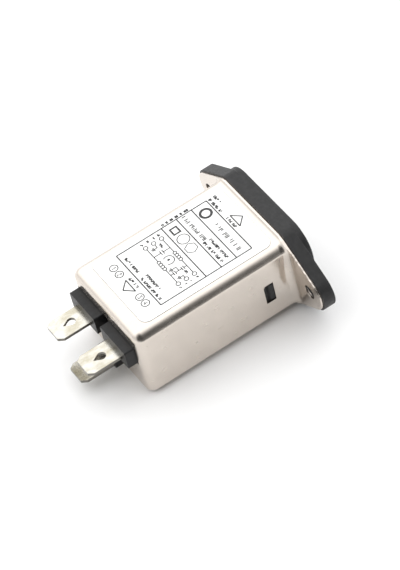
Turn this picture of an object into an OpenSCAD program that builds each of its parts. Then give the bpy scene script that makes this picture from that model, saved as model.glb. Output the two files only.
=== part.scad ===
// Mains inlet line filter: a three-pin appliance inlet with a screw flange, and
// a drawn steel can behind it that holds a common-mode choke, one capacitor
// across the line and two to earth. Three flat push-on tabs carry the load side.
//
// +Y points from the inlet to the tabs, +Z to the labelled side, +X along the
// ears. The origin lies midway between the screw holes, on the rear face of the
// metal flange, which is the face that seats on the panel.

/* [Flange] */
// Length of the moulded flange over both ears
flange_w = 50; // [48:0.5:54]
// Height of the moulded flange
flange_h = 22.9; // [22.5:0.1:26]
// Thickness of the moulded flange
flange_t = 3; // [2:0.1:4]
// Distance between the screw holes
hole_pitch = 40; // [38:0.5:42]
// Diameter of the screw holes
hole_d = 3.5; // [3:0.1:4]
// How much smaller the metal flange is than the moulded one, all round
metal_inset = 0.45; // [0:0.05:1]
// Length of the straight top and bottom edges, to where the sloping edges would meet them
flat_w = 23; // [18:0.5:28]
// Radius that runs the straight edges into the sloping ones
flat_r = 3; // [1:0.5:6]

/* [Socket] */
// Width of the socket cavity
socket_w = 24.5; // [24.2:0.1:24.8]
// Height of the socket cavity
socket_h = 16.5; // [16.2:0.1:16.8]
// Depth of the socket from the face of its rim
socket_deep = 16.8; // [15:0.1:18]
// Cut on the two corners beside the earth pin
socket_cut = 4.5; // [3.5:0.1:5.5]
// Width of the raised rim
rim_w = 32.4; // [30:0.1:34]
// Corner radius of the raised rim
rim_r = 7; // [4:0.5:8]
// How far the rim stands in front of the flange
rim_t = 1.4; // [0.5:0.05:2]
// Rounding of the rim's front edge
rim_soft = 0.5; // [0.2:0.1:1]
// Distance between the line and neutral pins
pin_pitch = 14; // [13.8:0.1:14.2]
// Step from the line and neutral pins down to the earth pin
pin_step = 4; // [3.8:0.1:4.2]

/* [Can] */
// Outside width of the can
can_w = 27.5; // [27:0.1:29]
// Outside height of the can
can_h = 20.4; // [20:0.1:21.5]
// Length of the can behind the flange
can_l = 39.9; // [38:0.1:50]
// Thickness of the steel sheet
sheet = 0.55; // [0.4:0.05:0.8]
// Outside radius of the drawn edges
can_r = 2.3; // [1.8:0.1:3]
// Outside radius of the fold between wall and flange
fold_r = 1.5; // [0.4:0.1:1.6]

/* [Terminals] */
// Width of the push-on tabs
tab_w = 6.3; // [4.8, 6.3]
// Thickness of the push-on tabs
tab_t = 0.8; // [0.5, 0.8]
// Distance between the line and neutral tabs
tab_pitch = 12.8; // [12.4:0.1:13.2]
// Height of the line and neutral tabs above the middle
tab_z = 2.5; // [2:0.1:3]
// Depth of the earth tab below the middle
earth_z = 6.2; // [5.8:0.1:6.6]
// How far the collars stand out of the can
collar_out = 2.4; // [1.5:0.1:3]
// How far the tabs reach beyond their collars
tab_out = 8.35; // [7.9:0.05:9]

/* [Choke] */
// Outside diameter of the ring core
core_od = 16; // [15:0.5:17]
// Bore of the ring core
core_id = 9; // [8.5:0.5:9.5]
// Height of the ring core
core_h = 7; // [6:0.5:7]
// Diameter of the enamelled wire
wire_d = 1.1; // [0.8:0.1:1.2]
// Turns in each winding
turns = 7; // [4:1:7]

/* [Label] */
// Width of the label
label_w = 22.8; // [20:0.1:22.8]
// Length of the label
label_l = 34.3; // [30:0.1:34.5]
// Distance from the flange to the label
label_y = 1.7; // [1.4:0.1:3]

/* [Hidden] */

$fn = 48;
eps = 0.05;                                // overrun of a cut past a face
slip = 0.05;                               // clearance of parts that push together
ear_r = (flange_w - hole_pitch) / 2;
flange_back = -sheet;                      // rear face of the moulded flange
flange_front = flange_back - flange_t;
rim_front = flange_front - rim_t;
socket_floor = rim_front + socket_deep;
floor_t = 1.9;
inlet_back = socket_floor + floor_t;       // rear face of the inlet inside the can
bore_w = can_w - 2 * sheet;                // clear width inside the can
bore_h = can_h - 2 * sheet;
bore_r = can_r - sheet;
bore_end = can_l - sheet;                  // inner face of the can's end wall

// window in each side wall that the inlet's hook snaps into
window_y = 6.5;
window_z = -0.8;
window_l = 2.5;
window_h = 5.6;
window_cut = 0.5;
hook_inset = 0.1;                          // how far the hook stays below the can's surface

// moulded inlet
body_gap = 0.1;                            // clearance between the moulding and the can
sink_t = 1.5;                              // depth of the countersinks
sink_d = hole_d + 3;
brace_wall = 1.2;                          // wall of the bosses round the blades

// blades of the inlet
pin_w = 4;
pin_t = 2;
brace_t = 0.8;                             // bosses behind the socket floor
blade_end = inlet_back + brace_t + 2.8;    // soldering end of the blades
line_tip = rim_front + 3.6;                // the live blades stop well inside the rim
earth_tip = rim_front + 2.6;               // the earth blade makes contact first
pin_z = pin_step / 2;

// base that carries the tabs
rim_base_t = 1.4;                          // full-size rim of the plate
base_y = bore_end - bore_r - rim_base_t;
collar_w = 10.4;
collar_h = 5.2;
collar_z = 2.9;
slim_w = 7.2;                              // collar of the earth tab
slim_h = 2;
cut_gap = 0.25;                            // clearance of the can's cut-outs round the collars
tab_tip = can_l + collar_out + tab_out;
tail_w = 3;
tail_y = base_y - 3;
shoulder_w = 8;
shoulder_l = 1;

// wound choke, lying flat under the label side
choke_y = 24.6;
choke_z = 4;
lay = wire_d / 2 + 0.12;                   // wire centre above the core's surface
spread = 63;                               // half of the angle that a winding covers
steps = 12;                                // points in each turn
squareness = 0.3;                          // how closely a turn follows the core's corners

// film capacitor across the line
film_w = 13;
film_l = 11;
film_h = 5;
film_y = 19;
film_z = -9.35;

// disc capacitors to earth
disc_d = 8.5;
disc_t = 3.4;
disc_x = 10.2;
disc_y = 27.6;
disc_z = -4.95;
lead_d = 0.6;

liner_t = 0.2;
label_t = 0.1;

// ---- shapes used more than once ----

module rounded_rect(w, h, r) {
    square([w - 2 * r, h], center = true);
    square([w, h - 2 * r], center = true);
    for (x = [-1, 1], z = [-1, 1])
        translate([x * (w / 2 - r), z * (h / 2 - r)]) circle(r);
}

// Runs a flat outline, drawn as X and Z, from one Y to another.
module along_y(from, to) {
    translate([0, to, 0]) rotate([90, 0, 0]) linear_extrude(to - from) children();
}

// Flange outline: straight top and bottom, and a round ear at each screw hole.
// The sloping edges run into both without a corner.
module eared_outline(inset) {
    r = ear_r - inset;
    top = flange_h / 2 - inset;
    reach = (hole_pitch - flat_w) / 2;
    slope = acos(r / norm([top, reach])) - atan2(reach, top);
    turn = [flat_w / 2 - flat_r * tan(slope / 2), top - flat_r];
    ear = [hole_pitch / 2, 0] + r * [sin(slope), cos(slope)];
    shoulder = turn + flat_r * [sin(slope), cos(slope)];
    quarter = [[0, top], [turn[0], top], shoulder, ear, [ear[0], 0], [0, 0]];
    for (x = [-1, 1], z = [-1, 1]) scale([x, z]) {
        polygon(quarter);
        translate(turn) circle(flat_r);
    }
    for (x = [-1, 1]) translate([x * hole_pitch / 2, 0]) circle(r);
}

// Runs a section round a rounded rectangle whose corners have their centres at
// x and z. The section is drawn outwards from those centres, and along Y.
module round_edge(x, z) {
    for (turn = [0, 1]) mirror([turn, 0, 0]) {
        translate([x, 0, -z]) linear_extrude(2 * z) children();
        for (flip = [0, 1]) mirror([0, 0, flip]) translate([x, 0, z])
            rotate([-90, 0, 0]) rotate_extrude(angle = -90) children();
    }
    for (flip = [0, 1]) mirror([0, 0, flip]) translate([-x, 0, z])
        rotate([90, 0, 90]) linear_extrude(2 * x) mirror([1, -1, 0]) children();
}

// Deep-drawn box, open at y = from, with every edge of its closed end rounded.
module drawn_box(w, h, r, from, to) {
    x = w / 2 - r;
    z = h / 2 - r;
    along_y(from, to - r) rounded_rect(w, h, r);
    translate([0, to - r, 0]) {
        along_y(0, r) square([2 * x, 2 * z], center = true);
        round_edge(x, z) intersection() {
            circle(r);
            square(r);
        }
    }
}

module screw_holes(from, to) {
    for (x = [-1, 1]) translate([x * hole_pitch / 2, to, 0]) rotate([90, 0, 0])
        cylinder(d = hole_d, h = to - from);
}

function unit(v) = v / norm(v);
function heading(p, i) = unit(p[min(i + 1, len(p) - 1)] - p[max(i - 1, 0)]);
// Directions square to the path, each carried on from the last without a twist.
function carried(p, i, n) = i == len(p) ? [] :
    let (t = heading(p, i), m = unit(n - (n * t) * t)) concat([m], carried(p, i + 1, m));

// Round wire of diameter d through the points p.
module wire(p, d, sides = 8) {
    n = carried(p, 0, [0.3, 0.2, 0.9]);
    last = len(p) - 1;
    rings = [for (i = [0:last]) let (t = heading(p, i), v = cross(t, n[i]))
        for (k = [0:sides - 1]) p[i] + d / 2 * (cos(360 * k / sides) * n[i] + sin(360 * k / sides) * v)];
    walls = [for (i = [0:last - 1], k = [0:sides - 1])
        let (a = i * sides + k, b = i * sides + (k + 1) % sides)
        each [[a, a + sides, b], [b, a + sides, b + sides]]];
    ends = [[for (k = [0:sides - 1]) k], [for (k = [sides - 1:-1:0]) last * sides + k]];
    polyhedron(rings, concat(walls, ends));
}

// ---- can ----

// Bend of the sheet from the walls into the flange, all the way round the can.
// The flange's edge cuts it short above and below.
module fold() {
    intersection() {
        round_edge(can_w / 2 - can_r, can_h / 2 - can_r) translate([can_r, 0]) difference() {
            square(fold_r);
            translate([fold_r, fold_r]) circle(fold_r);
        }
        along_y(0, fold_r) eared_outline(metal_inset);
    }
}

// Snap window: its rear upper corner is cut off.
module window_outline() {
    l = window_l / 2;
    h = window_h / 2;
    polygon([[-l, -h], [l, -h], [l, h - window_cut], [l - window_cut, h], [-l, h]]);
}

module can() {
    color("gainsboro") difference() {
        union() {
            drawn_box(can_w, can_h, can_r, -sheet, can_l);
            along_y(-sheet, 0) eared_outline(metal_inset);
            fold();
        }
        drawn_box(bore_w, bore_h, bore_r, -sheet - eps, bore_end);
        screw_holes(-sheet - eps, eps);
        // openings in the end wall for the collars of the terminal base
        along_y(bore_end - can_r, can_l + eps) {
            translate([0, collar_z])
                square([tab_pitch + collar_w + 2 * cut_gap, collar_h + 2 * cut_gap], center = true);
            translate([0, -earth_z])
                square([slim_w + 2 * cut_gap, slim_h + 2 * cut_gap], center = true);
        }
        // snap windows, one in each side wall
        translate([-can_w, window_y, window_z]) rotate([90, 0, 90])
            linear_extrude(2 * can_w) window_outline();
    }
}

// ---- inlet ----

module socket_outline() {
    x = socket_w / 2;
    z = socket_h / 2;
    polygon([[-x, z], [x, z], [x, socket_cut - z], [x - socket_cut, -z],
        [socket_cut - x, -z], [-x, socket_cut - z]]);
}

// Wedges that spring into the can's windows: a ramp on the way in, and a square
// face towards the flange that holds.
module hooks() {
    out = can_w / 2 - hook_inset;
    root = bore_w / 2 - 1;
    l = window_l / 2 - body_gap;
    h = window_h - 2 * window_cut;
    for (turn = [0, 1]) mirror([turn, 0, 0]) translate([0, window_y, window_z - h / 2])
        linear_extrude(h) polygon([[root, -l], [out, -l], [out, 0], [root, l]]);
}

// Places its children at each of the three blades.
module at_blades() {
    for (p = [[-pin_pitch / 2, pin_z], [pin_pitch / 2, pin_z], [0, -pin_z]])
        translate([p[0], 0, p[1]]) children();
}

// Raised rim round the socket, with its front edge rounded.
module rim() {
    x = rim_w / 2 - rim_r;
    z = flange_h / 2 - rim_r;
    l = flange_front - rim_front;
    along_y(rim_front, flange_front) square([2 * x, 2 * z], center = true);
    translate([0, rim_front, 0]) round_edge(x, z) {
        translate([0, rim_soft]) square([rim_r, l - rim_soft]);
        square([rim_r - rim_soft, l]);
        translate([rim_r - rim_soft, rim_soft]) circle(rim_soft);
    }
}

module inlet_body() {
    color("#2b2b2d") difference() {
        union() {
            along_y(flange_front, flange_back) eared_outline(0);
            rim();
            along_y(flange_back - eps, inlet_back)
                rounded_rect(bore_w - 2 * body_gap, bore_h - 2 * body_gap, bore_r);
            hooks();
            // bosses that brace the blades behind the socket floor
            at_blades() along_y(inlet_back - eps, inlet_back + brace_t)
                rounded_rect(pin_t + 2 * brace_wall, pin_w + 2 * brace_wall, 1);
        }
        along_y(rim_front - eps, socket_floor) socket_outline();
        screw_holes(flange_front - eps, flange_back + eps);
        // countersinks for the panel screws
        for (x = [-1, 1]) translate([x * hole_pitch / 2, flange_front + sink_t, 0])
            rotate([90, 0, 0]) cylinder(d1 = hole_d, d2 = sink_d, h = sink_t + 0.01);
        // slots that the blades are pressed through
        at_blades() along_y(socket_floor - eps, inlet_back + brace_t + eps)
            square([pin_t, pin_w], center = true);
    }
}

// Flat blade with a bevelled tip, a shouldered root and a drilled soldering end.
module blade(tip) {
    solder_w = 3;
    solder_t = 1;
    root = inlet_back + brace_t;
    nose = [0.4, 1.2];                     // half thickness and half height at the tip
    color("silver") difference() {
        union() {
            intersection() {
                translate([-pin_t / 2, 0, 0]) rotate([90, 0, 90]) linear_extrude(pin_t)
                    polygon([[tip, nose[1]], [tip + 0.8, pin_w / 2], [root, pin_w / 2],
                        [root, -pin_w / 2], [tip + 0.8, -pin_w / 2], [tip, -nose[1]]]);
                translate([0, 0, -pin_w]) linear_extrude(2 * pin_w)
                    polygon([[nose[0], tip], [pin_t / 2, tip + 1.5], [pin_t / 2, root],
                        [-pin_t / 2, root], [-pin_t / 2, tip + 1.5], [-nose[0], tip]]);
            }
            along_y(inlet_back, blade_end) square([solder_t, solder_w], center = true);
        }
        translate([-pin_t, blade_end - 1.4, 0]) rotate([0, 90, 0]) cylinder(d = 1.3, h = 2 * pin_t);
    }
}

module line_pin() { translate([pin_pitch / 2, 0, pin_z]) blade(line_tip); }
module neutral_pin() { translate([-pin_pitch / 2, 0, pin_z]) blade(line_tip); }
module earth_pin() { translate([0, 0, -pin_z]) blade(earth_tip); }

// ---- load side ----

// Collar outline with softened corners.
module collar(w, h, r) {
    along_y(bore_end - eps, can_l + collar_out) rounded_rect(w, h, r);
}

module terminal_base() {
    color("#232325") difference() {
        union() {
            along_y(base_y, base_y + rim_base_t)
                rounded_rect(bore_w - 2 * body_gap, bore_h - 2 * body_gap, bore_r);
            // stepped in where the sheet's inside radius closes on the end wall
            along_y(base_y, bore_end)
                rounded_rect(bore_w - 2 * bore_r, bore_h - 2 * bore_r, 0.8);
            for (x = [-1, 1]) translate([x * tab_pitch / 2, 0, collar_z]) collar(collar_w, collar_h, 0.4);
            translate([0, 0, -earth_z]) collar(slim_w, slim_h, 0.3);
        }
        for (x = [-1, 1]) translate([x * tab_pitch / 2, 0, tab_z]) tab_slot();
        translate([0, 0, -earth_z]) tab_slot();
    }
}

module tab_slot() {
    along_y(base_y - 1, tab_tip) square([tab_w + slip, tab_t + slip], center = true);
}

// Drop-shaped eye, pointed towards the tip.
module tab_eye() {
    r = 1.03;
    point = 2.1;
    lean = acos(r / point);
    translate([0, can_l + collar_out + 3.35]) {
        circle(r);
        polygon([[0, point], [r * sin(lean), r * cos(lean)], [-r * sin(lean), r * cos(lean)]]);
    }
}

// Push-on tab: bevelled tip and eye outside, shoulder and soldering tail inside.
module tab() {
    x = tab_w / 2;
    nose = 1.3;
    bevel = 0.22;
    color("#d9d6cc") difference() {
        intersection() {
            translate([0, 0, -tab_t / 2]) linear_extrude(tab_t) polygon([
                [x - 0.95, tab_tip], [x, tab_tip - nose], [x, base_y], [shoulder_w / 2, base_y],
                [shoulder_w / 2, base_y - shoulder_l], [tail_w / 2, base_y - shoulder_l],
                [tail_w / 2, tail_y], [-tail_w / 2, tail_y], [-tail_w / 2, base_y - shoulder_l],
                [-shoulder_w / 2, base_y - shoulder_l], [-shoulder_w / 2, base_y], [-x, base_y],
                [-x, tab_tip - nose], [0.95 - x, tab_tip]]);
            translate([-shoulder_w, 0, 0]) rotate([90, 0, 90]) linear_extrude(2 * shoulder_w)
                polygon([[tail_y, -tab_t / 2], [tail_y, tab_t / 2], [tab_tip - nose, tab_t / 2],
                    [tab_tip, tab_t / 2 - bevel], [tab_tip, bevel - tab_t / 2],
                    [tab_tip - nose, -tab_t / 2]]);
        }
        translate([0, 0, -tab_t]) linear_extrude(2 * tab_t) tab_eye();
        translate([0, tail_y + 1, -tab_t]) cylinder(d = 1.2, h = 2 * tab_t);
    }
}

module line_tab() { translate([tab_pitch / 2, 0, tab_z]) tab(); }
module neutral_tab() { translate([-tab_pitch / 2, 0, tab_z]) tab(); }
module earth_tab() { translate([0, 0, -earth_z]) tab(); }

// ---- choke ----

module choke_core() {
    section = (core_od - core_id) / 2;
    color("#4c5a4a") translate([0, choke_y, choke_z]) rotate_extrude()
        translate([core_id / 2 + section / 2, 0]) rounded_rect(section, core_h, 0.6);
}

// Upright plate across the bore that keeps the two windings apart.
module choke_divider() {
    bore = core_id - 0.3;
    color("ivory") translate([0, choke_y, choke_z - core_h / 2]) {
        translate([-0.4, -bore / 2, 0]) cube([0.8, bore, core_h]);
        for (y = [-1, 1]) translate([-1, y * (bore / 2 - 0.5) - 0.3, 0]) cube([2, 0.6, core_h]);
    }
}

// One turn goes out along the foot, up the outside, in along the top and down the bore.
// The share s of a turn gives how far out and how high the wire is.
function turn_at(s) =
    let (half_w = (core_od - core_id) / 4 + lay, half_h = core_h / 2 + lay, a = 360 * s - 90,
        x = half_w * superarc(cos(a)), z = half_h * superarc(sin(a)))
    [(core_od + core_id) / 4 + x, z];
// Squares a circle's sine or cosine off, so that the loop hugs the core's section.
function superarc(c) = sign(c) * pow(abs(c), squareness);
function turn_point(k) =
    let (s = turn_at(k / steps), a = -spread + 2 * spread * k / (turns * steps))
    [s[0] * cos(a), choke_y + s[0] * sin(a), choke_z + s[1]];

// Wire from the soldering end of a blade, round the core and on to a tab's tail.
function winding_path() = concat(
    [[pin_pitch / 2, blade_end - 2.6, pin_z + 2.1], [pin_pitch / 2, blade_end - 0.6, pin_z + 2.1]],
    [for (k = [3:turns * steps + 3]) turn_point(k)],
    [[tab_pitch / 2 - 0.6, tail_y + 0.9, tab_z + 1.1], [tab_pitch / 2, base_y - 1.3, tab_z + 1]]);

module winding() {
    wire(winding_path(), wire_d);
}

module line_winding() { color("#a8572c") winding(); }
module neutral_winding() { color("#a8572c") mirror([1, 0, 0]) winding(); }

// ---- capacitors and earthing ----

module x_capacitor() {
    color("#e3c23a") translate([0, film_y + film_l / 2, film_z]) linear_extrude(film_h)
        rounded_rect(film_w, film_l, 0.5);
}

module x_capacitor_leads() {
    foot = film_z + film_h / 2;
    color("silver") for (x = [-1, 1]) wire([for (p = [[5, film_y, foot], [5, film_y - 1, foot],
        [5.4, film_y - 1.5, foot + 0.8], [6.1, blade_end - 0.6, -0.6], [6.15, blade_end - 1, 1]])
        [x * p[0], p[1], p[2]]], lead_d);
}

module y_capacitor() {
    color("#3f6fb5") translate([disc_x, disc_y, disc_z]) rotate([0, 90, 0]) rotate_extrude()
        polygon([[0, -disc_t / 2], [disc_d / 2 - 1.4, -disc_t / 2], [disc_d / 2 - 0.4, -disc_t / 2 + 0.5],
            [disc_d / 2, -disc_t / 2 + 1.3], [disc_d / 2, disc_t / 2 - 1.3],
            [disc_d / 2 - 0.4, disc_t / 2 - 0.5], [disc_d / 2 - 1.4, disc_t / 2], [0, disc_t / 2]]);
}

module y_leads() {
    rim = disc_y + 4.16;
    color("silver") {
        wire([[disc_x, rim, disc_z + 1.2], [disc_x, rim + 0.5, disc_z + 1.2],
            [disc_x - 0.3, rim + 1.2, disc_z + 2.2],
            [8.6, tail_y - 0.6, tab_z - 2.4], [6.9, tail_y + 0.9, tab_z - 0.9],
            [6.4, tail_y + 1.9, tab_z - 0.75]], lead_d);
        wire([[disc_x, rim, disc_z - 1.2], [disc_x, rim + 0.5, disc_z - 1.2],
            [disc_x - 0.7, rim + 1.2, disc_z - 1.8],
            [6, tail_y + 0.6, -earth_z - 0.9], [2.4, tail_y + 1.5, -earth_z - 0.75],
            [0.7, tail_y + 1.5, -earth_z - 0.75]], lead_d);
    }
}

module line_y_capacitor() { y_capacitor(); }
module neutral_y_capacitor() { mirror([1, 0, 0]) y_capacitor(); }
module line_y_leads() { y_leads(); }
module neutral_y_leads() { mirror([1, 0, 0]) y_leads(); }

// Insulated lead from the earth blade to the earth tab, between choke and capacitor.
module earth_lead() {
    color("#8fae2c") wire([[1.4, blade_end - 2.4, -pin_z], [1.4, blade_end - 0.2, -pin_z],
        [1, 20, -2.4], [0, 23, -2.6], [0, 29, -2.6], [0, 32, -3.4],
        [0, tail_y + 0.2, -earth_z + 1.4], [0, base_y - 1.2, -earth_z + tab_t / 2 + 0.9]], 1.7);
}

// Strip from the earth tab to the floor of the can, which it is welded to.
module earth_strap() {
    strip = 0.3;
    floor_z = -bore_h / 2;
    under = -earth_z - tab_t / 2;
    foot = tail_y - 2.8;
    color("silver") translate([-2, 0, 0]) rotate([90, 0, 90]) linear_extrude(4)
        polygon([[foot, floor_z], [tail_y, floor_z], [tail_y, under - strip],
            [tail_y + 0.9, under - strip], [tail_y + 0.9, under], [tail_y - strip, under],
            [tail_y - strip, floor_z + strip], [foot, floor_z + strip]]);
}

module insulating_liner() {
    color("#d8cba4") difference() {
        along_y(inlet_back + 0.3, tail_y - 4) rounded_rect(bore_w - 0.1, bore_h - 0.1, bore_r);
        along_y(inlet_back, tail_y)
            rounded_rect(bore_w - 0.1 - 2 * liner_t, bore_h - 0.1 - 2 * liner_t, bore_r - liner_t);
    }
}

// ---- label ----

module label() {
    color("white") translate([0, label_y + label_l / 2, can_h / 2]) linear_extrude(label_t)
        rounded_rect(label_w, label_l, 1.3);
}

can();
inlet_body();
line_pin();
neutral_pin();
earth_pin();
terminal_base();
line_tab();
neutral_tab();
earth_tab();
choke_core();
choke_divider();
line_winding();
neutral_winding();
x_capacitor();
x_capacitor_leads();
line_y_capacitor();
neutral_y_capacitor();
line_y_leads();
neutral_y_leads();
earth_lead();
earth_strap();
insulating_liner();
label();
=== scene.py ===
import random
from math import acos, atan2, cos, hypot, pi, radians, sin, tan
import bmesh
import bpy
from mathutils import Matrix, Vector


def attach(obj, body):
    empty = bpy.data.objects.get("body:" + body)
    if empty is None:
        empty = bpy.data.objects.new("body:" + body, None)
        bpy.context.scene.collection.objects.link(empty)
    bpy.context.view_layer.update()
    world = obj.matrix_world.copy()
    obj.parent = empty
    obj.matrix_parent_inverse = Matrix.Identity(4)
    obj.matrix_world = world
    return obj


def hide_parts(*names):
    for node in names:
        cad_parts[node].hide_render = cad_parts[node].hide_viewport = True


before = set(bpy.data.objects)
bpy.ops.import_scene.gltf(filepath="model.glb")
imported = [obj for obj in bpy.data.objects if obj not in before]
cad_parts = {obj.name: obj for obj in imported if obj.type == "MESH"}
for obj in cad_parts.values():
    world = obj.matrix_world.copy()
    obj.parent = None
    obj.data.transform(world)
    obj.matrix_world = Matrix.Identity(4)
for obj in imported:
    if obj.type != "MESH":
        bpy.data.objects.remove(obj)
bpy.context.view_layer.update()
mm = 0.001
print("frame loaded")


def makeObject(name, vertices, faces):
    mesh = bpy.data.meshes.new(name)
    mesh.from_pydata([(x * mm, y * mm, z * mm) for x, y, z in vertices], [], faces)
    tidy = bmesh.new()
    tidy.from_mesh(mesh)
    bmesh.ops.remove_doubles(tidy, verts=tidy.verts, dist=1e-7)
    bmesh.ops.recalc_face_normals(tidy, faces=tidy.faces)
    tidy.to_mesh(mesh)
    tidy.free()
    ob = bpy.data.objects.new(name, mesh)
    bpy.context.scene.collection.objects.link(ob)
    return ob


def bake(ob):
    # swaps the mesh for what its modifiers make of it
    graph = bpy.context.evaluated_depsgraph_get()
    mesh = bpy.data.meshes.new_from_object(ob.evaluated_get(graph))
    ob.modifiers.clear()
    old, ob.data = ob.data, mesh
    bpy.data.meshes.remove(old)
    mesh.name = ob.name


def combine(target, tool, operation):
    mod = target.modifiers.new("combine", "BOOLEAN")
    mod.object, mod.operation, mod.solver = tool, operation, "EXACT"
    bake(target)
    bpy.data.objects.remove(tool)


def softenEdges(ob, width, segments=2, angle=35):
    # small rounding on every edge sharper than the angle, then shading that keeps flats flat
    bevel = ob.modifiers.new("edges", "BEVEL")
    bevel.width, bevel.segments, bevel.limit_method = width * mm, segments, "ANGLE"
    bevel.angle_limit, bevel.harden_normals = radians(angle), False
    bevel.miter_outer = "MITER_ARC"
    bake(ob)
    ob.data.shade_smooth()
    ob.data.set_sharp_from_angle(angle=radians(50))
    weighted = ob.modifiers.new("shading", "WEIGHTED_NORMAL")
    weighted.keep_sharp, weighted.weight = True, 80
    bake(ob)


def finishPiece(ob, node, material):
    ob.data.materials.clear()
    ob.data.materials.append(material)
    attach(ob, "root")
    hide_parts(node)
    print("made", ob.name)


# outlines are lists of x and z, anticlockwise seen from behind
def roundedOutline(w, h, r, arc=8, side=1, profile=None):
    # profile gives the corner's points as x and z at radius 1; without one the corner is round
    points = []
    if profile is None:
        profile = [(cos(pi / 2 * k / arc), sin(pi / 2 * k / arc)) for k in range(arc + 1)]
    for quarter in range(4):
        towardX = 1 if quarter in (0, 3) else -1
        towardZ = 1 if quarter in (0, 1) else -1
        corner = profile if quarter % 2 == 0 else profile[::-1]
        for x, z in corner:
            points.append((towardX * (w / 2 - r + r * x), towardZ * (h / 2 - r + r * z)))
        nx, nz = [(r - w / 2, h / 2), (-w / 2, r - h / 2), (w / 2 - r, -h / 2), (w / 2, h / 2 - r)][quarter]
        px, pz = points[-1]
        for k in range(1, side):
            points.append((px + (nx - px) * k / side, pz + (nz - pz) * k / side))
    return points


def roundCorners(points, radii, arc=6):
    # replaces each corner of a polygon by an arc of its radius
    out = []
    for i, (p, r) in enumerate(zip(points, radii)):
        if r == 0:
            out.append(tuple(p))
            continue
        p = Vector(p)
        a = (Vector(points[i - 1]) - p).normalized()
        b = (Vector(points[(i + 1) % len(points)]) - p).normalized()
        half = a.angle(b) / 2
        centre = p + (a + b).normalized() * (r / sin(half))
        start = p + a * (r / tan(half)) - centre
        sweep = pi - 2 * half
        if a.x * b.y - a.y * b.x > 0:
            sweep = -sweep
        for k in range(arc + 1):
            t = sweep * k / arc
            out.append((centre.x + start.x * cos(t) - start.y * sin(t),
                        centre.y + start.x * sin(t) + start.y * cos(t)))
    return out


def earedOutline(size, inset, arc=24):
    r = size["earR"] - inset
    top = size["height"] / 2 - inset
    reach = size["holeX"] - size["flat"] / 2
    slope = acos(r / hypot(top, reach)) - atan2(reach, top)
    right = [(size["holeX"] + r * cos(a), r * sin(a)) for a in
             [-(pi / 2 - slope) + (pi - 2 * slope) * k / arc for k in range(arc + 1)]]
    corners = [(size["flat"] / 2, top), (-size["flat"] / 2, top)]
    left = [(-x, -z) for x, z in right]
    points = right + corners + left + [(-x, -z) for x, z in corners]
    radii = [0] * len(right) + [size["cornerR"]] * 2 + [0] * len(left) + [size["cornerR"]] * 2
    return roundCorners(points, radii)


def circleOutline(x, z, r, count=48):
    return [(x + r * cos(2 * pi * k / count), z + r * sin(2 * pi * k / count)) for k in range(count)]


def loft(name, rings):
    # closed skin through rings of x, y, z that all have the same number of points
    count = len(rings[0])
    vertices = [p for ring in rings for p in ring]
    faces = []
    for start in range(0, (len(rings) - 1) * count, count):
        for k in range(count):
            n = (k + 1) % count
            faces.append([start + k, start + n, start + count + n, start + count + k])
    faces += [list(range(count)), list(range(len(vertices) - count, len(vertices)))]
    return makeObject(name, vertices, faces)


def prism(name, outline, y0, y1):
    return loft(name, [[(x, y, z) for x, z in outline] for y in (y0, y1)])


def slab(name, outline, z0, z1):
    # a plate whose outline is drawn in x and y
    return loft(name, [[(x, y, z) for x, y in outline] for z in (z0, z1)])


def newMaterial(name, colour, metallic, roughness):
    mat = bpy.data.materials.new(name)
    mat.use_nodes = True
    shader = mat.node_tree.nodes["Principled BSDF"]
    shader.inputs["Base Color"].default_value = (*colour, 1)
    shader.inputs["Metallic"].default_value = metallic
    shader.inputs["Roughness"].default_value = roughness
    return mat, mat.node_tree, shader


def noise(tree, scale, detail=3, stretch=(1, 1, 1), rough=0.5):
    # noise on object coordinates; scale is in cells per metre
    where = tree.nodes.new("ShaderNodeTexCoord")
    place = tree.nodes.new("ShaderNodeMapping")
    place.inputs["Scale"].default_value = stretch
    tex = tree.nodes.new("ShaderNodeTexNoise")
    tex.inputs["Scale"].default_value = scale
    tex.inputs["Detail"].default_value = detail
    tex.inputs["Roughness"].default_value = rough
    tree.links.new(where.outputs["Object"], place.inputs["Vector"])
    tree.links.new(place.outputs["Vector"], tex.inputs["Vector"])
    return tex.outputs["Fac"]


def ramp(tree, source, stops):
    node = tree.nodes.new("ShaderNodeValToRGB")
    while len(node.color_ramp.elements) < len(stops):
        node.color_ramp.elements.new(0.5)
    for element, (at, value) in zip(node.color_ramp.elements, stops):
        element.position = at
        element.color = (*value, 1) if isinstance(value, tuple) else (value, value, value, 1)
    tree.links.new(source, node.inputs["Fac"])
    return node.outputs["Color"]


def vary(tree, socket, source, stops):
    # drives a shader input by a ramp over a pattern
    tree.links.new(ramp(tree, source, stops), socket)


def bump(tree, height, distance, strength=1.0, after=None):
    node = tree.nodes.new("ShaderNodeBump")
    node.inputs["Distance"].default_value = distance
    node.inputs["Strength"].default_value = strength
    tree.links.new(height, node.inputs["Height"])
    if after is not None:
        tree.links.new(after, node.inputs["Normal"])
    return node.outputs["Normal"]


def satinNickel(name, tint, roughness):
    mat, tree, shader = newMaterial(name, tint, 1, roughness)
    dark = tuple(c * 0.95 for c in tint)
    vary(tree, shader.inputs["Base Color"], noise(tree, 260, 4), [(0.35, dark), (0.65, tint)])
    vary(tree, shader.inputs["Roughness"], noise(tree, 900, 5, (1, 0.35, 1)),
         [(0.3, roughness * 0.92), (0.7, roughness * 1.1)])
    wave = bump(tree, noise(tree, 60, 1), 0.00003)
    grain = bump(tree, noise(tree, 7000, 2, (1, 0.3, 1)), 0.0000005, 1, wave)
    tree.links.new(grain, shader.inputs["Normal"])
    return mat


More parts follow.
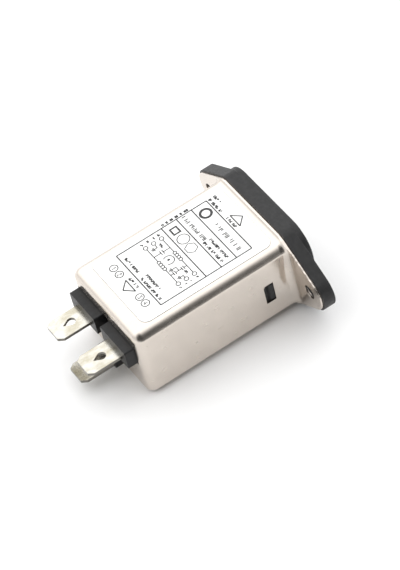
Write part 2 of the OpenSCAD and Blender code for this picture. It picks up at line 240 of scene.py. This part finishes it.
def mouldedPlastic(name, tint, roughness, grainSize):
    mat, tree, shader = newMaterial(name, tint, 0, roughness)
    light = tuple(c * 1.6 for c in tint)
    vary(tree, shader.inputs["Base Color"], noise(tree, 700, 5), [(0.4, tint), (0.75, light)])
    vary(tree, shader.inputs["Roughness"], noise(tree, 1500, 3),
         [(0.3, roughness * 0.85), (0.7, roughness * 1.15)])
    tree.links.new(bump(tree, noise(tree, 1 / grainSize, 2), 0.00001, 1), shader.inputs["Normal"])
    shader.inputs["Specular IOR Level"].default_value = 0.33
    return mat


def tinPlate(name, tint, roughness):
    # rolled strip with yellowish clouds in the tin, fine scratches along it and shallow dents
    mat, tree, shader = newMaterial(name, tint, 1, roughness)
    dull = (tint[0] * 0.74, tint[1] * 0.71, tint[2] * 0.62)
    vary(tree, shader.inputs["Base Color"], noise(tree, 420, 5, (1, 0.6, 1)), [(0.38, dull), (0.6, tint)])
    vary(tree, shader.inputs["Roughness"], noise(tree, 1400, 3, (1, 0.3, 1)),
         [(0.3, roughness * 0.85), (0.7, roughness * 1.2)])
    scratches = bump(tree, noise(tree, 1500, 5, (2.5, 0.07, 2.5)), 0.000005)
    dents = bump(tree, noise(tree, 260, 1), 0.00002, 1, scratches)
    tree.links.new(dents, shader.inputs["Normal"])
    return mat


def tabTin(name, tint, roughness):
    # as tinPlate, but the sheared sides and bevels, picked by which way they face, are much darker: the cut
    # metal there is bare, and the rest of the darkening is painted shade
    mat = tinPlate(name, tint, roughness)
    tree = mat.node_tree
    shader = tree.nodes["Principled BSDF"]
    clouds = shader.inputs["Base Color"].links[0].from_socket
    facing = tree.nodes.new("ShaderNodeSeparateXYZ")
    tree.links.new(tree.nodes.new("ShaderNodeNewGeometry").outputs["True Normal"], facing.inputs["Vector"])
    flat = tree.nodes.new("ShaderNodeMath")
    flat.operation = "ABSOLUTE"
    tree.links.new(facing.outputs["Z"], flat.inputs[0])
    # painted shade: every face not turned up or down gets a near-black base colour
    sideShadeMix = tree.nodes.new("ShaderNodeMixRGB")
    sideShadeMix.inputs["Color1"].default_value = (0.2, 0.19, 0.17, 1)
    tree.links.new(ramp(tree, flat.outputs["Value"], [(0.9, 0), (0.97, 1)]), sideShadeMix.inputs["Fac"])
    tree.links.new(clouds, sideShadeMix.inputs["Color2"])
    tree.links.new(sideShadeMix.outputs["Color"], shader.inputs["Base Color"])
    return mat


def plainFinish(name, tint, metallic, roughness, scale):
    # for the pieces that the can closes in
    mat, tree, shader = newMaterial(name, tint, metallic, roughness)
    dark = tuple(c * 0.8 for c in tint)
    vary(tree, shader.inputs["Base Color"], noise(tree, scale, 3), [(0.3, dark), (0.7, tint)])
    tree.links.new(bump(tree, noise(tree, scale * 3, 2), 0.000005), shader.inputs["Normal"])
    return mat


can = {"width": 27.5, "height": 20.4, "length": 39.9, "sheet": 0.55, "edgeR": 2.3, "foldR": 1.5,
       "mark": 0.3, "markPlace": ((1.55, 0.7, 1.5), (3, 4.2), 0.1), "metalInset": 0.45, "burr": 0.035,
       "edgeSoft": 0.08,
       "cutouts": ((11.85, 0.05, 5.75), (3.85, -7.45, -4.95)),
       "edgeProfile": ((25, 0.45), (45, 1.6), (65, 1.564), (90, 0.459))}
flange = {"earR": 5, "height": 22.9, "holeX": 20, "holeR": 1.75, "flat": 23, "cornerR": 3}
window = {"y": 6.5, "z": -0.8, "length": 2.5, "height": 5.6, "cut": 0.5}


def drawMark(x, y, z):
    # shallow hollow that the drawing leaves beside the upper corners of the side walls
    (midY, toFlange, toEnd), (midZ, reachZ), lean = can["markPlace"]
    u = y - midY - lean * (midZ - z)
    u = u / (toEnd if u > 0 else toFlange)
    v = (z - midZ) / reachZ
    if abs(x) < can["width"] / 2 - 0.05:
        return 0
    return can["mark"] * max(0, 1 - u * u - v * v) ** 1.5


def drawnCorner(steps):
    # section of the can's long edges: tight where it leaves the wall, flatter further up
    stretches = can["edgeProfile"]
    x, z, at, points = 1, 0, 0, [(1, 0)]
    for until, bendR in stretches:
        count = max(1, round((until - at) / 90 * steps))
        for k in range(count):
            low = radians(at + (until - at) * k / count)
            high = radians(at + (until - at) * (k + 1) / count)
            x -= bendR * (cos(low) - cos(high))
            z += bendR * (sin(high) - sin(low))
            points.append((x, z))
        at = until
    return points[:-1] + [(0, 1)]


def outwardNormals(outline):
    out = []
    for k, (x, z) in enumerate(outline):
        ahead, behind = outline[(k + 1) % len(outline)], outline[k - 1]
        out.append(Vector((ahead[1] - behind[1], behind[0] - ahead[0])).normalized())
    return out


def canSkin(w, h, r, end, bend, arc=8, side=14):
    # rings from the flange, round the bend, along the walls and over the closed end
    rings = []
    profile = drawnCorner(arc * 2)
    wall = roundedOutline(w, h, r, arc, side, profile)

    def ring(y, grow=0, corner=r):
        rings.append([(x, y, z) for x, z in roundedOutline(w + 2 * grow, h + 2 * grow, corner, arc, side,
                                                           profile)])

    if bend:
        outward = outwardNormals(wall)
        for k in range(-1, 8):
            a = pi / 2 * max(k, 0) / 7
            row = []
            for (x, z), out in zip(wall, outward):
                y = can["foldR"] * (1 - cos(a)) if k >= 0 else -0.3
                grow = can["foldR"] * (1 - sin(a))
                row.append((x + out.x * grow, y, z + out.y * grow))
            rings.append(row)
        for y in (1.7, 1.95, 2.2, 2.5, 2.8, 3.1, 3.5, 5.5, 8, 14, 22, 30):
            ring(y)
        rings = [[(x - (1 if x > 0 else -1) * drawMark(x, y, z), y, z) for x, y, z in row] for row in rings]
    else:
        ring(-can["sheet"] - 0.2)
    for k in range(9):
        a = pi / 2 * k / 8
        ring(end - r + r * sin(a), -r * (1 - cos(a)), max(r * cos(a), 0.0005))
    return loft("skin", rings)


def windowOutline():
    y, z, l, h, c = window["y"], window["z"], window["length"] / 2, window["height"] / 2, window["cut"]
    return [(y - l, z - h), (y + l, z - h), (y + l, z + h - c), (y + l - c, z + h), (y - l, z + h)]


def makeCan():
    w, h, r, t = can["width"], can["height"], can["edgeR"], can["sheet"]
    random.seed(4)
    outline = []
    raw = earedOutline(flange, can["metalInset"], 40)
    for i, (x, z) in enumerate(raw):
        # the sheared edge is cut into short facets that stand out unevenly
        nx, nz = raw[(i + 1) % len(raw)]
        steps = max(1, int(hypot(nx - x, nz - z) / 0.35))
        for k in range(steps):
            j = 1 - can["burr"] * random.random() / 10
            outline.append(((x + (nx - x) * k / steps) * j, (z + (nz - z) * k / steps) * j))
    body = prism("canShell", outline, -t, 0)
    skin = canSkin(w, h, r, can["length"], True)
    combine(skin, prism("trim", raw, -0.4, can["length"] + 1), "INTERSECT")
    combine(body, skin, "UNION")
    combine(body, canSkin(w - 2 * t, h - 2 * t, r - t, can["length"] - t, False, 6, 1), "DIFFERENCE")
    for side in (-1, 1):
        combine(body, prism("hole", circleOutline(side * flange["holeX"], 0, flange["holeR"]), -t - 1, 1),
                "DIFFERENCE")
    slot = windowOutline()
    combine(body, loft("windows", [[(x, y, z) for y, z in slot] for x in (-w, w)]), "DIFFERENCE")
    end = can["length"]
    for half, low, high in can["cutouts"]:
        combine(body, prism("cutout", [(-half, low), (half, low), (half, high), (-half, high)],
                            end - r, end + 1), "DIFFERENCE")
    softenEdges(body, can["edgeSoft"])
    finishPiece(body, "can", satinNickel("satinNickel", (0.675, 0.615, 0.555), 0.25))


makeCan()


inlet = {"front": -3.55, "back": -0.55, "rimFront": -4.95, "rimWidth": 31.8, "rimHeight": 22.9, "rimR": 6.4,
         "floor": 11.85, "barrelEnd": 13.75, "bossEnd": 14.55, "socket": (24.5, 16.5), "socketCut": 4.5,
         "sinkR": 3.25, "sinkDepth": 1.5, "soft": 0.06, "flangeSoft": 0.2, "rimSoft": 0.5,
         "barrel": (26.2, 19.1, 1.75), "boss": (4.4, 6.4, 1), "hook": (12.2, 13.65, 1.15, 2.3)}
blades = {"pitch": 14, "z": 2, "width": 4, "thickness": 2, "tip": -1.35, "earthTip": -2.35, "end": 17.35,
          "soft": 0.08}


def roundedPlate(name, outline, front, back, r, steps=5):
    # a plate along y with its front edge rounded; outline takes the inset and gives x and z
    rings = []
    for k in range(steps + 1):
        a = pi / 2 * k / steps
        rings.append([(x, front + r * (1 - sin(a)), z) for x, z in outline(r * (1 - cos(a)))])
    return loft(name, [[(x, back, z) for x, z in outline(0)]] + rings)


def makeInlet():
    body = roundedPlate("inletHousing", lambda inset: earedOutline(flange, inset, 40),
                        inlet["front"], inlet["back"], inlet["flangeSoft"])
    combine(body, roundedPlate("rim", lambda inset: roundedOutline(
        inlet["rimWidth"] - 2 * inset, inlet["rimHeight"] - 2 * inset, inlet["rimR"] - inset, 12),
        inlet["rimFront"], inlet["front"] + 0.9, inlet["rimSoft"]), "UNION")
    combine(body, prism("barrel", roundedOutline(*inlet["barrel"]), inlet["back"] - 0.3,
                        inlet["barrelEnd"]), "UNION")
    y, z = window["y"], window["z"]
    root, nose, halfLength, halfWidth = inlet["hook"]
    for side in (-1, 1):
        plan = [(side * root, y - halfLength), (side * nose, y - halfLength), (side * nose, y),
                (side * root, y + halfLength)]
        combine(body, slab("hook", plan, z - halfWidth, z + halfWidth), "UNION")
    apart, rise = blades["pitch"] / 2, blades["z"]
    for x, z in ((-apart, rise), (apart, rise), (0, -rise)):
        combine(body, prism("boss", [(x + a, z + b) for a, b in roundedOutline(*inlet["boss"])],
                            inlet["barrelEnd"] - 0.1, inlet["bossEnd"]), "UNION")
    w, h, c = inlet["socket"][0] / 2, inlet["socket"][1] / 2, inlet["socketCut"]
    mouth = roundCorners([(-w, h), (-w, c - h), (c - w, -h), (w - c, -h), (w, c - h), (w, h)], [0.8] * 6)
    combine(body, prism("socket", mouth, inlet["rimFront"] - 1, inlet["floor"]), "DIFFERENCE")
    for side in (-1, 1):
        x = side * flange["holeX"]
        sink = [[(px, py, pz) for px, pz in circleOutline(x, 0, r)] for py, r in
                ((inlet["front"] - 0.2, inlet["sinkR"] + 0.2),
                 (inlet["front"] + inlet["sinkDepth"], flange["holeR"]),
                 (inlet["back"] + 1, flange["holeR"]))]
        combine(body, loft("sink", sink), "DIFFERENCE")
    softenEdges(body, inlet["soft"])
    finishPiece(body, "inlet_body",
                mouldedPlastic("matMoulding", (0.016, 0.016, 0.0165), 0.5, 0.00022))


def makeBlade(name, node, x, z, tip, material):
    w, t = blades["width"] / 2, blades["thickness"] / 2
    rings = []
    for y, a, b in ((tip, 0.45, 0.6), (tip + 0.35, 0.62, 0.85), (tip + 1.5, 1, 1), (inlet["bossEnd"], 1, 1)):
        rings.append([(x + px, y, z + pz) for px, pz in roundedOutline(2 * t * a, 2 * w * b, 0.25 * a, 4)])
    body = loft(name, rings)
    combine(body, prism("tail", [(x + a, z + b) for a, b in roundedOutline(1, 3, 0.1, 2)], 14,
                        blades["end"]), "UNION")
    softenEdges(body, blades["soft"])
    finishPiece(body, node, material)


makeInlet()
bladeMetal = tinPlate("platedBlade", (0.78, 0.76, 0.7), 0.2)
makeBlade("lineBlade", "line_pin", blades["pitch"] / 2, blades["z"], blades["tip"], bladeMetal)
makeBlade("neutralBlade", "neutral_pin", -blades["pitch"] / 2, blades["z"], blades["tip"], bladeMetal)
makeBlade("earthBlade", "earth_pin", 0, -blades["z"], blades["earthTip"], bladeMetal)


terminal = {"baseStart": 36.2, "baseRim": 1.4, "out": 42.3, "collar": (10.4, 5.2), "collarX": 6.4,
            "collarZ": 2.9, "slim": (7.2, 2), "earthZ": -6.2, "tabZ": 2.5, "soft": 0.16,
            "rim": (26.2, 19.1, 1.75), "step": (22.9, 15.8, 0.8), "stepEnd": 39.35, "collarStart": 39,
            "slot": (3.2, 0.45)}
tabSize = {"width": 6.3, "thickness": 0.8, "tip": 50.65, "nose": 1.3, "noseX": 0.95, "eyeY": 45.65,
           "eyeR": 1.03, "eyePoint": 2.1, "tail": 33.2, "base": 36.2, "soft": 0.12}


def makeTerminalBase():
    y0 = terminal["baseStart"]
    body = prism("terminalBase", roundedOutline(*terminal["rim"]), y0, y0 + terminal["baseRim"])
    combine(body, prism("step", roundedOutline(*terminal["step"]), y0 + 0.2, terminal["stepEnd"]), "UNION")
    for side in (-1, 1):
        shape = [(side * terminal["collarX"] + a, terminal["collarZ"] + b)
                 for a, b in roundedOutline(*terminal["collar"], 0.4, 4)]
        combine(body, prism("collar", shape, terminal["collarStart"], terminal["out"]), "UNION")
    slim = [(a, terminal["earthZ"] + b) for a, b in roundedOutline(*terminal["slim"], 0.3, 4)]
    combine(body, prism("slimCollar", slim, terminal["collarStart"], terminal["out"]), "UNION")
    apart, rise = terminal["collarX"], terminal["tabZ"]
    for x, z in ((-apart, rise), (apart, rise), (0, terminal["earthZ"])):
        w, t = terminal["slot"]
        slot = [(x - w, z - t), (x + w, z - t), (x + w, z + t), (x - w, z + t)]
        combine(body, prism("slot", slot, y0 - 1, terminal["out"] + 1), "DIFFERENCE")
    softenEdges(body, terminal["soft"], 2)
    finishPiece(body, "terminal_base",
                mouldedPlastic("satinMoulding", (0.009, 0.009, 0.0095), 0.42, 0.00018))


def makeTab(name, node, x, z, material):
    s = tabSize
    w, t = s["width"] / 2, s["thickness"] / 2
    tip, base = s["tip"], s["base"]
    half = [(w - s["noseX"], tip), (w, tip - s["nose"]), (w, base), (4, base), (4, base - 1),
            (1.5, base - 1),
            (1.5, s["tail"])]
    plan = roundCorners([(-a, b) for a, b in half[::-1]] + half, [0] * 5 + [0.3, 0.3] * 2 + [0] * 5)
    body = slab(name, [(x + a, b) for a, b in plan], z - t, z + t)
    lean = acos(s["eyeR"] / s["eyePoint"])
    eye = [(s["eyeR"] * sin(a), s["eyeR"] * cos(a)) for a in
           [lean + (2 * pi - 2 * lean) * k / 40 for k in range(41)]] + [(0, s["eyePoint"])]
    combine(body, slab("eye", [(x + a, s["eyeY"] + b) for a, b in eye], z - 1, z + 1), "DIFFERENCE")
    softenEdges(body, s["soft"], 2)
    finishPiece(body, node, material)


makeTerminalBase()
tabMetal = tabTin("tinnedTab", (0.61, 0.595, 0.55), 0.24)
makeTab("lineTab", "line_tab", terminal["collarX"], terminal["tabZ"], tabMetal)
makeTab("neutralTab", "neutral_tab", -terminal["collarX"], terminal["tabZ"], tabMetal)
makeTab("earthTab", "earth_tab", 0, terminal["earthZ"], tabMetal)


sticker = {"width": 22.8, "start": 1.7, "length": 34.3, "base": 10.2, "top": 10.3, "cornerR": 2,
           "soft": 0.09}


def makeSticker():
    y0, l, w = sticker["start"], sticker["length"], sticker["width"]
    plan = [(x, y0 + l / 2 + y) for x, y in roundedOutline(w, l, sticker["cornerR"], 8)]
    body = slab("sticker", plan, sticker["base"], sticker["top"])
    softenEdges(body, sticker["soft"], 1)
    mat, tree, shader = newMaterial("stickerFilm", (0.9, 0.9, 0.89), 0, 0.4)
    # painted shade along the sticker's edge: faces of the film that are not turned up, picked by their
    # facing, get a dark grey base colour
    facing = tree.nodes.new("ShaderNodeSeparateXYZ")
    tree.links.new(tree.nodes.new("ShaderNodeNewGeometry").outputs["True Normal"], facing.inputs["Vector"])
    vary(tree, shader.inputs["Base Color"], facing.outputs["Z"],
         [(0.8, (0.16, 0.16, 0.155)), (0.97, (0.9, 0.9, 0.89))])
    vary(tree, shader.inputs["Roughness"], noise(tree, 500, 3), [(0.3, 0.36), (0.7, 0.46)])
    tree.links.new(bump(tree, noise(tree, 160, 2), 0.00001), shader.inputs["Normal"])
    finishPiece(body, "label", mat)


makeSticker()


# print on the sticker, drawn with u across and v up as it is read from the load side
ink = {"line": 0.29, "fine": 0.22, "tick": 0.27, "bold": 0.6, "height": 0.012, "frame": (9.19, -30.11, -6.1),
       "rules": (-10.14, -14.17, -18.19), "coilR": 0.42, "coilTurns": 4, "terminalR": 0.52}


def arcPoints(u, v, r, start, end, count=24):
    return [(u + r * cos(radians(start + (end - start) * k / count)),
             v + r * sin(radians(start + (end - start) * k / count))) for k in range(count + 1)]


def frameLines():
    # every stroke is a list of points; a stroke that ends where it starts is closed
    w, low, high = ink["frame"]
    strokes = [[(-w, low), (w, low)], [(w, low), (w, high)], [(w, high), (-w, high)],
               [(-w, high), (-w, low)]]
    strokes += [[(-w, v), (w, v)] for v in ink["rules"]]
    # direction triangles
    for tip, foot in ((-2.46, -4.5), (-34.25, -32.23)):
        corners = [(-1.95, foot), (0.1, tip), (2.15, foot)]
        strokes += [[corners[k], corners[(k + 1) % 3]] for k in range(3)]
    return strokes


def circuitLines():
    strokes = []
    for v in (-19.7, -23.95):
        strokes += [[(-6.15, v), (-1.65, v)], [(1.65, v), (6.2, v)]]
    for u in (-6.7, 6.75):
        strokes += [arcPoints(u, v, ink["terminalR"], 0, 360) for v in (-19.7, -21.82, -23.95)]
    # capacitor across the line
    strokes += [[(-3.2, -19.7), (-3.2, -21.5)], [(-3.2, -22.1), (-3.2, -23.95)],
                [(-3.9, -21.5), (-2.5, -21.5)], [(-3.9, -22.1), (-2.5, -22.1)]]
    # two capacitors to earth and their common point
    strokes += [[(3.65, -19.7), (3.65, -20.5)], [(3.65, -21), (3.65, -22.65)],
                [(3.65, -23.15), (3.65, -23.95)]]
    strokes += [[(3.05, v), (4.25, v)] for v in (-20.5, -21, -22.65, -23.15)]
    strokes += [[(3.65, -21.8), (2.45, -21.8)], [(2.45, -21.8), (2.45, -22.9)]]
    for u, v in ((2.45, -22.9), (-5.1, -22.7), (5.5, -22.7)):
        strokes += [[(u - 0.6, v), (u + 0.6, v)], [(u - 0.4, v - 0.28), (u + 0.4, v - 0.28)],
                    [(u - 0.2, v - 0.56), (u + 0.2, v - 0.56)]]
    strokes += [[(-6.15, -21.85), (-5.1, -21.85)], [(-5.1, -21.85), (-5.1, -22.7)],
                [(6.2, -21.85), (5.5, -21.85)], [(5.5, -21.85), (5.5, -22.7)]]
    strokes.append(arcPoints(-0.35, -21.85, 1.25, -40, 220, 30))
    # ring and hexagon in the third row, and four numbered places at the load end
    strokes += [arcPoints(-3.25, -16.1, 1.45, 0, 360, 36),
                [(0.07 + 1.5 * cos(radians(60 * k)), -16.2 + 1.5 * sin(radians(60 * k))) for k in range(7)]]
    for number, u in enumerate((-6.63, -4.3, 4.21, 6.46)):
        strokes.append(arcPoints(u, -32.42, 0.95, 0, 360, 32))
        strokes += [[(u + a, -32.42 + b) for a, b in stroke] for stroke in digits[number]]
    return strokes


# strokes of the numbers 1 to 4
digits = [[[(-0.15, 0.3), (0.08, 0.5), (0.08, -0.5)]],
          [[(-0.25, 0.35), (0, 0.5), (0.25, 0.35), (0.25, 0.1), (-0.28, -0.5), (0.3, -0.5)]],
          [[(-0.25, 0.5), (0.25, 0.5), (-0.05, 0.1), (0.25, -0.1), (0.2, -0.45), (-0.25, -0.45)]],
          [[(0.12, -0.5), (0.12, 0.5), (-0.3, -0.15), (0.32, -0.15)]]]


def boldLines():
    # heavy plain ring in the first row and a square in the third
    ring = arcPoints(-6.15, -8.2, 1.3, 0, 360, 40)
    square = [(-7.5, -17), (-5.6, -17), (-5.6, -15.35), (-7.5, -15.35), (-7.5, -17)]
    return [ring, square]


def tickLines():
    # rows of upright ticks stand where lettering would be: start u, end u, middle v, height
    rows = [(-1.8, 7.7, -8.35, 1.15), (-8.6, 0.3, -12.6, 1.0), (0.9, 8.1, -11.65, 0.75),
            (0.7, 8.4, -13.2, 0.75),
            (-9.1, -6.5, -4.0, 0.75), (-9.05, -4.3, -5.35, 0.75), (-1.75, 1.85, -5.35, 0.7),
            (-1.8, 2.1, -31.3, 0.75), (-7.2, -1.6, -28.9, 0.7), (0, 5.3, -27.9, 0.7), (0, 7.9, -29.3, 0.7),
            (-5.6, -4.4, -20.9, 0.6), (4.6, 6.0, -20.75, 0.6)]
    rows += [(u - 0.22, u + 0.3, v, 0.6) for u, v in ((-8.05, -19.7), (-8, -21.1), (-8, -22.6), (-8, -24.2),
                                                      (8.05, -19.7), (8.1, -21.2), (8.1, -22.6),
                                                      (8.05, -24.1),
                                                      (-0.35, -21.85))]
    random.seed(11)
    ticks = []
    for start, end, v, h in rows:
        u = start
        while u < end:
            low, high = random.choice(((-0.5, 0.5), (-0.5, 0.5), (-0.5, 0.1), (-0.1, 0.5)))
            ticks.append([(u, v + low * h), (u, v + high * h)])
            u += h * random.choice((0.36, 0.36, 0.42, 0.5, 1.05))
    # side note outside the frame, read along the sticker
    v = -17.6
    while v < -10.3:
        ticks.append([(-10.2, v), (-9.5, v)])
        v += random.choice((0.27, 0.3, 0.36, 0.8))
    return ticks


def strokeTree(name):
    # curves in, flat bands out: a width and a height swept along each stroke
    tree = bpy.data.node_groups.new(name, "GeometryNodeTree")
    face = tree.interface
    face.new_socket("Strokes", in_out="INPUT", socket_type="NodeSocketGeometry")
    face.new_socket("Width", in_out="INPUT", socket_type="NodeSocketFloat")
    face.new_socket("Height", in_out="INPUT", socket_type="NodeSocketFloat")
    face.new_socket("Finish", in_out="INPUT", socket_type="NodeSocketMaterial")
    face.new_socket("Bands", in_out="OUTPUT", socket_type="NodeSocketGeometry")
    nodes, links = tree.nodes, tree.links
    given, made = nodes.new("NodeGroupInput"), nodes.new("NodeGroupOutput")
    upright = nodes.new("GeometryNodeSetCurveNormal")
    upright.mode = "Z_UP"
    section = nodes.new("GeometryNodeCurvePrimitiveQuadrilateral")
    sweep = nodes.new("GeometryNodeCurveToMesh")
    sweep.inputs["Fill Caps"].default_value = True
    real, finish = nodes.new("GeometryNodeRealizeInstances"), nodes.new("GeometryNodeSetMaterial")
    links.new(given.outputs["Strokes"], upright.inputs["Curve"])
    links.new(given.outputs["Width"], section.inputs["Width"])
    links.new(given.outputs["Height"], section.inputs["Height"])
    links.new(upright.outputs["Curve"], sweep.inputs["Curve"])
    links.new(section.outputs["Curve"], sweep.inputs["Profile Curve"])
    links.new(sweep.outputs["Mesh"], real.inputs["Geometry"])
    links.new(real.outputs["Geometry"], finish.inputs["Geometry"])
    links.new(given.outputs["Finish"], finish.inputs["Material"])
    links.new(finish.outputs["Geometry"], made.inputs["Bands"])
    return tree


def coilTree(name):
    # a row of loops: one open ring repeated along the line of the coil
    tree = bpy.data.node_groups.new(name, "GeometryNodeTree")
    face = tree.interface
    face.new_socket("Strokes", in_out="INPUT", socket_type="NodeSocketGeometry")
    for label, kind in (("Turns", "Int"), ("Radius", "Float"), ("Width", "Float"), ("Height", "Float")):
        face.new_socket(label, in_out="INPUT", socket_type="NodeSocket" + kind)
    face.new_socket("Finish", in_out="INPUT", socket_type="NodeSocketMaterial")
    face.new_socket("Bands", in_out="OUTPUT", socket_type="NodeSocketGeometry")
    nodes, links = tree.nodes, tree.links
    given, made = nodes.new("NodeGroupInput"), nodes.new("NodeGroupOutput")
    along = nodes.new("GeometryNodeCurveToPoints")
    ring = nodes.new("GeometryNodeCurvePrimitiveCircle")
    ring.inputs["Resolution"].default_value = 20
    section = nodes.new("GeometryNodeCurvePrimitiveQuadrilateral")
    sweep, copies = nodes.new("GeometryNodeCurveToMesh"), nodes.new("GeometryNodeInstanceOnPoints")
    real, finish = nodes.new("GeometryNodeRealizeInstances"), nodes.new("GeometryNodeSetMaterial")
    links.new(given.outputs["Strokes"], along.inputs["Curve"])
    links.new(given.outputs["Turns"], along.inputs["Count"])
    links.new(given.outputs["Radius"], ring.inputs["Radius"])
    upright = nodes.new("GeometryNodeSetCurveNormal")
    upright.mode = "Z_UP"
    links.new(given.outputs["Width"], section.inputs["Width"])
    links.new(given.outputs["Height"], section.inputs["Height"])
    links.new(ring.outputs["Curve"], upright.inputs["Curve"])
    links.new(upright.outputs["Curve"], sweep.inputs["Curve"])
    links.new(section.outputs["Curve"], sweep.inputs["Profile Curve"])
    links.new(along.outputs["Points"], copies.inputs["Points"])
    links.new(sweep.outputs["Mesh"], copies.inputs["Instance"])
    links.new(copies.outputs["Instances"], real.inputs["Geometry"])
    links.new(real.outputs["Geometry"], finish.inputs["Geometry"])
    links.new(given.outputs["Finish"], finish.inputs["Material"])
    links.new(finish.outputs["Geometry"], made.inputs["Bands"])
    return tree


def strokeObject(name, strokes, z):
    data = bpy.data.curves.new(name, "CURVE")
    data.dimensions = "3D"
    for points in strokes:
        spline = data.splines.new("POLY")
        closed = len(points) > 3 and hypot(points[0][0] - points[-1][0],
                                           points[0][1] - points[-1][1]) < 0.001
        points = points[:-1] if closed else points
        spline.points.add(len(points) - 1)
        for place, (u, v) in zip(spline.points, points):
            place.co = (-u * mm, -v * mm, z * mm, 1)
        spline.use_cyclic_u = closed
    ob = bpy.data.objects.new(name, data)
    bpy.context.scene.collection.objects.link(ob)
    return ob


def runTree(source, tree, values):
    # gives the tree its inputs by socket, and keeps the result as a plain mesh
    mod = source.modifiers.new("made", "NODES")
    mod.node_group = tree
    for item in tree.interface.items_tree:
        if item.in_out == "INPUT" and item.name in values:
            mod[item.identifier] = values[item.name]
    graph = bpy.context.evaluated_depsgraph_get()
    mesh = bpy.data.meshes.new_from_object(source.evaluated_get(graph))
    ob = bpy.data.objects.new(source.name + "Print", mesh)
    bpy.context.scene.collection.objects.link(ob)
    bpy.data.objects.remove(source)
    return ob


def makePrint():
    mat, tree, shader = newMaterial("printInk", (0.02, 0.02, 0.022), 0, 0.45)
    vary(tree, shader.inputs["Base Color"], noise(tree, 9000, 2),
         [(0.3, (0.012, 0.012, 0.013)), (0.8, (0.05, 0.05, 0.052))])
    z = sticker["top"] + ink["height"] / 2
    sweep = strokeTree("sweptStroke")
    values = {"Height": ink["height"] * mm, "Finish": mat}
    printed = []
    for name, strokes, weight in (("frame", frameLines(), "line"), ("circuit", circuitLines(), "fine"),
                                  ("ticks", tickLines(), "tick"), ("bold", boldLines(), "bold")):
        printed.append(runTree(strokeObject(name, strokes, z), sweep, values | {"Width": ink[weight] * mm}))
    coilLines = [[(-1.2, v), (1.2, v)] for v in (-19.7, -23.95)]
    printed.append(runTree(strokeObject("coils", coilLines, z), coilTree("coilLoops"), values | {
        "Width": ink["fine"] * mm, "Turns": ink["coilTurns"], "Radius": ink["coilR"] * mm}))
    for ob in printed:
        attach(ob, "root")
    print("print laid on the sticker")


makePrint()


def dressInside():
    # the pieces that the can closes in keep their own solids and get a finish each
    copper = plainFinish("enamelledCopper", (0.55, 0.2, 0.08), 0.8, 0.3, 900)
    tinned = plainFinish("tinnedWire", (0.75, 0.74, 0.7), 1, 0.3, 1500)
    disc = plainFinish("dippedDisc", (0.06, 0.2, 0.5), 0, 0.25, 500)
    finishes = {
        "choke_core": plainFinish("coatedFerrite", (0.07, 0.11, 0.08), 0, 0.4, 700),
        "choke_divider": plainFinish("dividerPlastic", (0.7, 0.64, 0.48), 0, 0.45, 500),
        "line_winding": copper, "neutral_winding": copper,
        "x_capacitor": plainFinish("filmBox", (0.75, 0.55, 0.08), 0, 0.35, 400),
        "x_capacitor_leads": tinned, "line_y_leads": tinned, "neutral_y_leads": tinned,
                "earth_strap": tinned,
        "line_y_capacitor": disc, "neutral_y_capacitor": disc,
        "earth_lead": plainFinish("leadSleeve", (0.3, 0.5, 0.05), 0, 0.4, 600),
        "insulating_liner": plainFinish("fibreSheet", (0.62, 0.52, 0.33), 0, 0.7, 1200),
    }
    for node, material in finishes.items():
        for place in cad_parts[node].material_slots:
            place.material = material
    print("inner pieces dressed")


dressInside()


studio = {"benchSlope": 1.878, "benchBright": 0.9, "lens": 189.8,
          "overhead": ((0.35, 0, 1), (0.2, 0.8, 0.95, 1.9)),
          "darkSide": ((-0.87, 0.25, 0.35), (0.64, 0.88, 1, 0.045)),
          "cameraPlace": (-0.408964, 0.177386, 0.500711),
          "cameraAxes": ((-0.540629, -0.822544, -0.176471), (0.576954, -0.51519, 0.633801),
                         (-0.612245, 0.240836, 0.753096))}


def makeBench():
    # the part leans on its flange and on the can's rear edge, so the bench is turned to meet it
    low = -flange["height"] / 2
    rise = tan(radians(studio["benchSlope"]))
    reach = 1500
    corners = [(x, y, low + rise * (y + can["sheet"])) for x, y in
               ((-reach, -reach), (reach, -reach), (reach, reach), (-reach, reach))]
    bench = makeObject("bench", corners, [[0, 1, 2, 3]])
    mat, tree, shader = newMaterial("benchPaper", (studio["benchBright"],) * 3, 0, 0.9)
    tree.links.new(bump(tree, noise(tree, 900, 3), 0.00002), shader.inputs["Normal"])
    bench.data.materials.append(mat)


def makeStudio():
    # bright from above and behind, dark low down on the near side
    world = bpy.data.worlds.new("studio")
    bpy.context.scene.world = world
    world.use_nodes = True
    tree = world.node_tree
    sky = tree.nodes["Background"]
    where = tree.nodes.new("ShaderNodeTexCoord")
    parts = []
    for direction, fade in (studio["overhead"], studio["darkSide"]):
        facing = tree.nodes.new("ShaderNodeVectorMath")
        facing.operation = "DOT_PRODUCT"
        facing.inputs[1].default_value = Vector(direction).normalized()
        tree.links.new(where.outputs["Generated"], facing.inputs[0])
        spread = tree.nodes.new("ShaderNodeMapRange")
        spread.interpolation_type = "SMOOTHSTEP"
        for key, value in zip(("From Min", "From Max", "To Min", "To Max"), fade):
            spread.inputs[key].default_value = value
        tree.links.new(facing.outputs["Value"], spread.inputs["Value"])
        parts.append(spread.outputs["Result"])
    both = tree.nodes.new("ShaderNodeMath")
    both.operation = "MULTIPLY"
    tree.links.new(parts[0], both.inputs[0])
    tree.links.new(parts[1], both.inputs[1])
    tree.links.new(both.outputs["Value"], sky.inputs["Strength"])
    sky.inputs["Color"].default_value = (1, 1, 1, 1)
    bpy.context.scene.view_settings.view_transform = "Standard"


def makeCamera():
    data = bpy.data.cameras.new("camera")
    data.lens, data.sensor_width = studio["lens"], 36
    data.clip_start, data.clip_end = 0.01, 20
    camera = bpy.data.objects.new("camera", data)
    bpy.context.scene.collection.objects.link(camera)
    turn = Matrix(studio["cameraAxes"]).transposed()
    camera.matrix_world = Matrix.Translation(studio["cameraPlace"]) @ turn.to_4x4()
    bpy.context.scene.camera = camera


makeBench()
makeStudio()
makeCamera()
print("studio ready")
